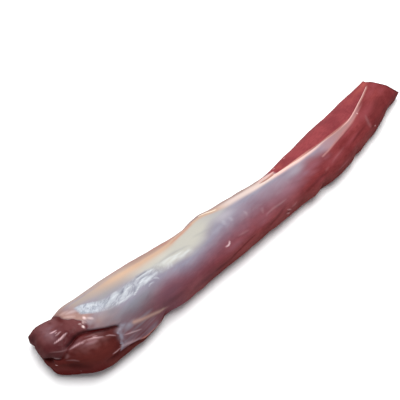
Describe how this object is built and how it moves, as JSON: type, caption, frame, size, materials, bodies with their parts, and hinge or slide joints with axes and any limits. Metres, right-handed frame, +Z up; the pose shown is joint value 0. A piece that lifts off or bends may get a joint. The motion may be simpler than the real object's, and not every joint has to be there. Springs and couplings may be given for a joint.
{
  "type": "boneless deer saddle",
  "caption": "Raw boneless deer saddle: a long trimmed loin lying silverskin up, thick lobed cut end, thinner slanted end, flat underside.",
  "frame": {"origin": "centre of the loin's box, on the surface it lies on", "axes": "+X along the loin from the thick cut end to the thin end, +Y to the side the fat line runs on, +Z up"},
  "size_m": [0.4892, 0.074, 0.0418],
  "materials": {
    "meat": "moist raw meat with a pearly silverskin on top"
  },
  "bodies": {
    "root": {"loin": "meat"}
  },
  "joints": []
}
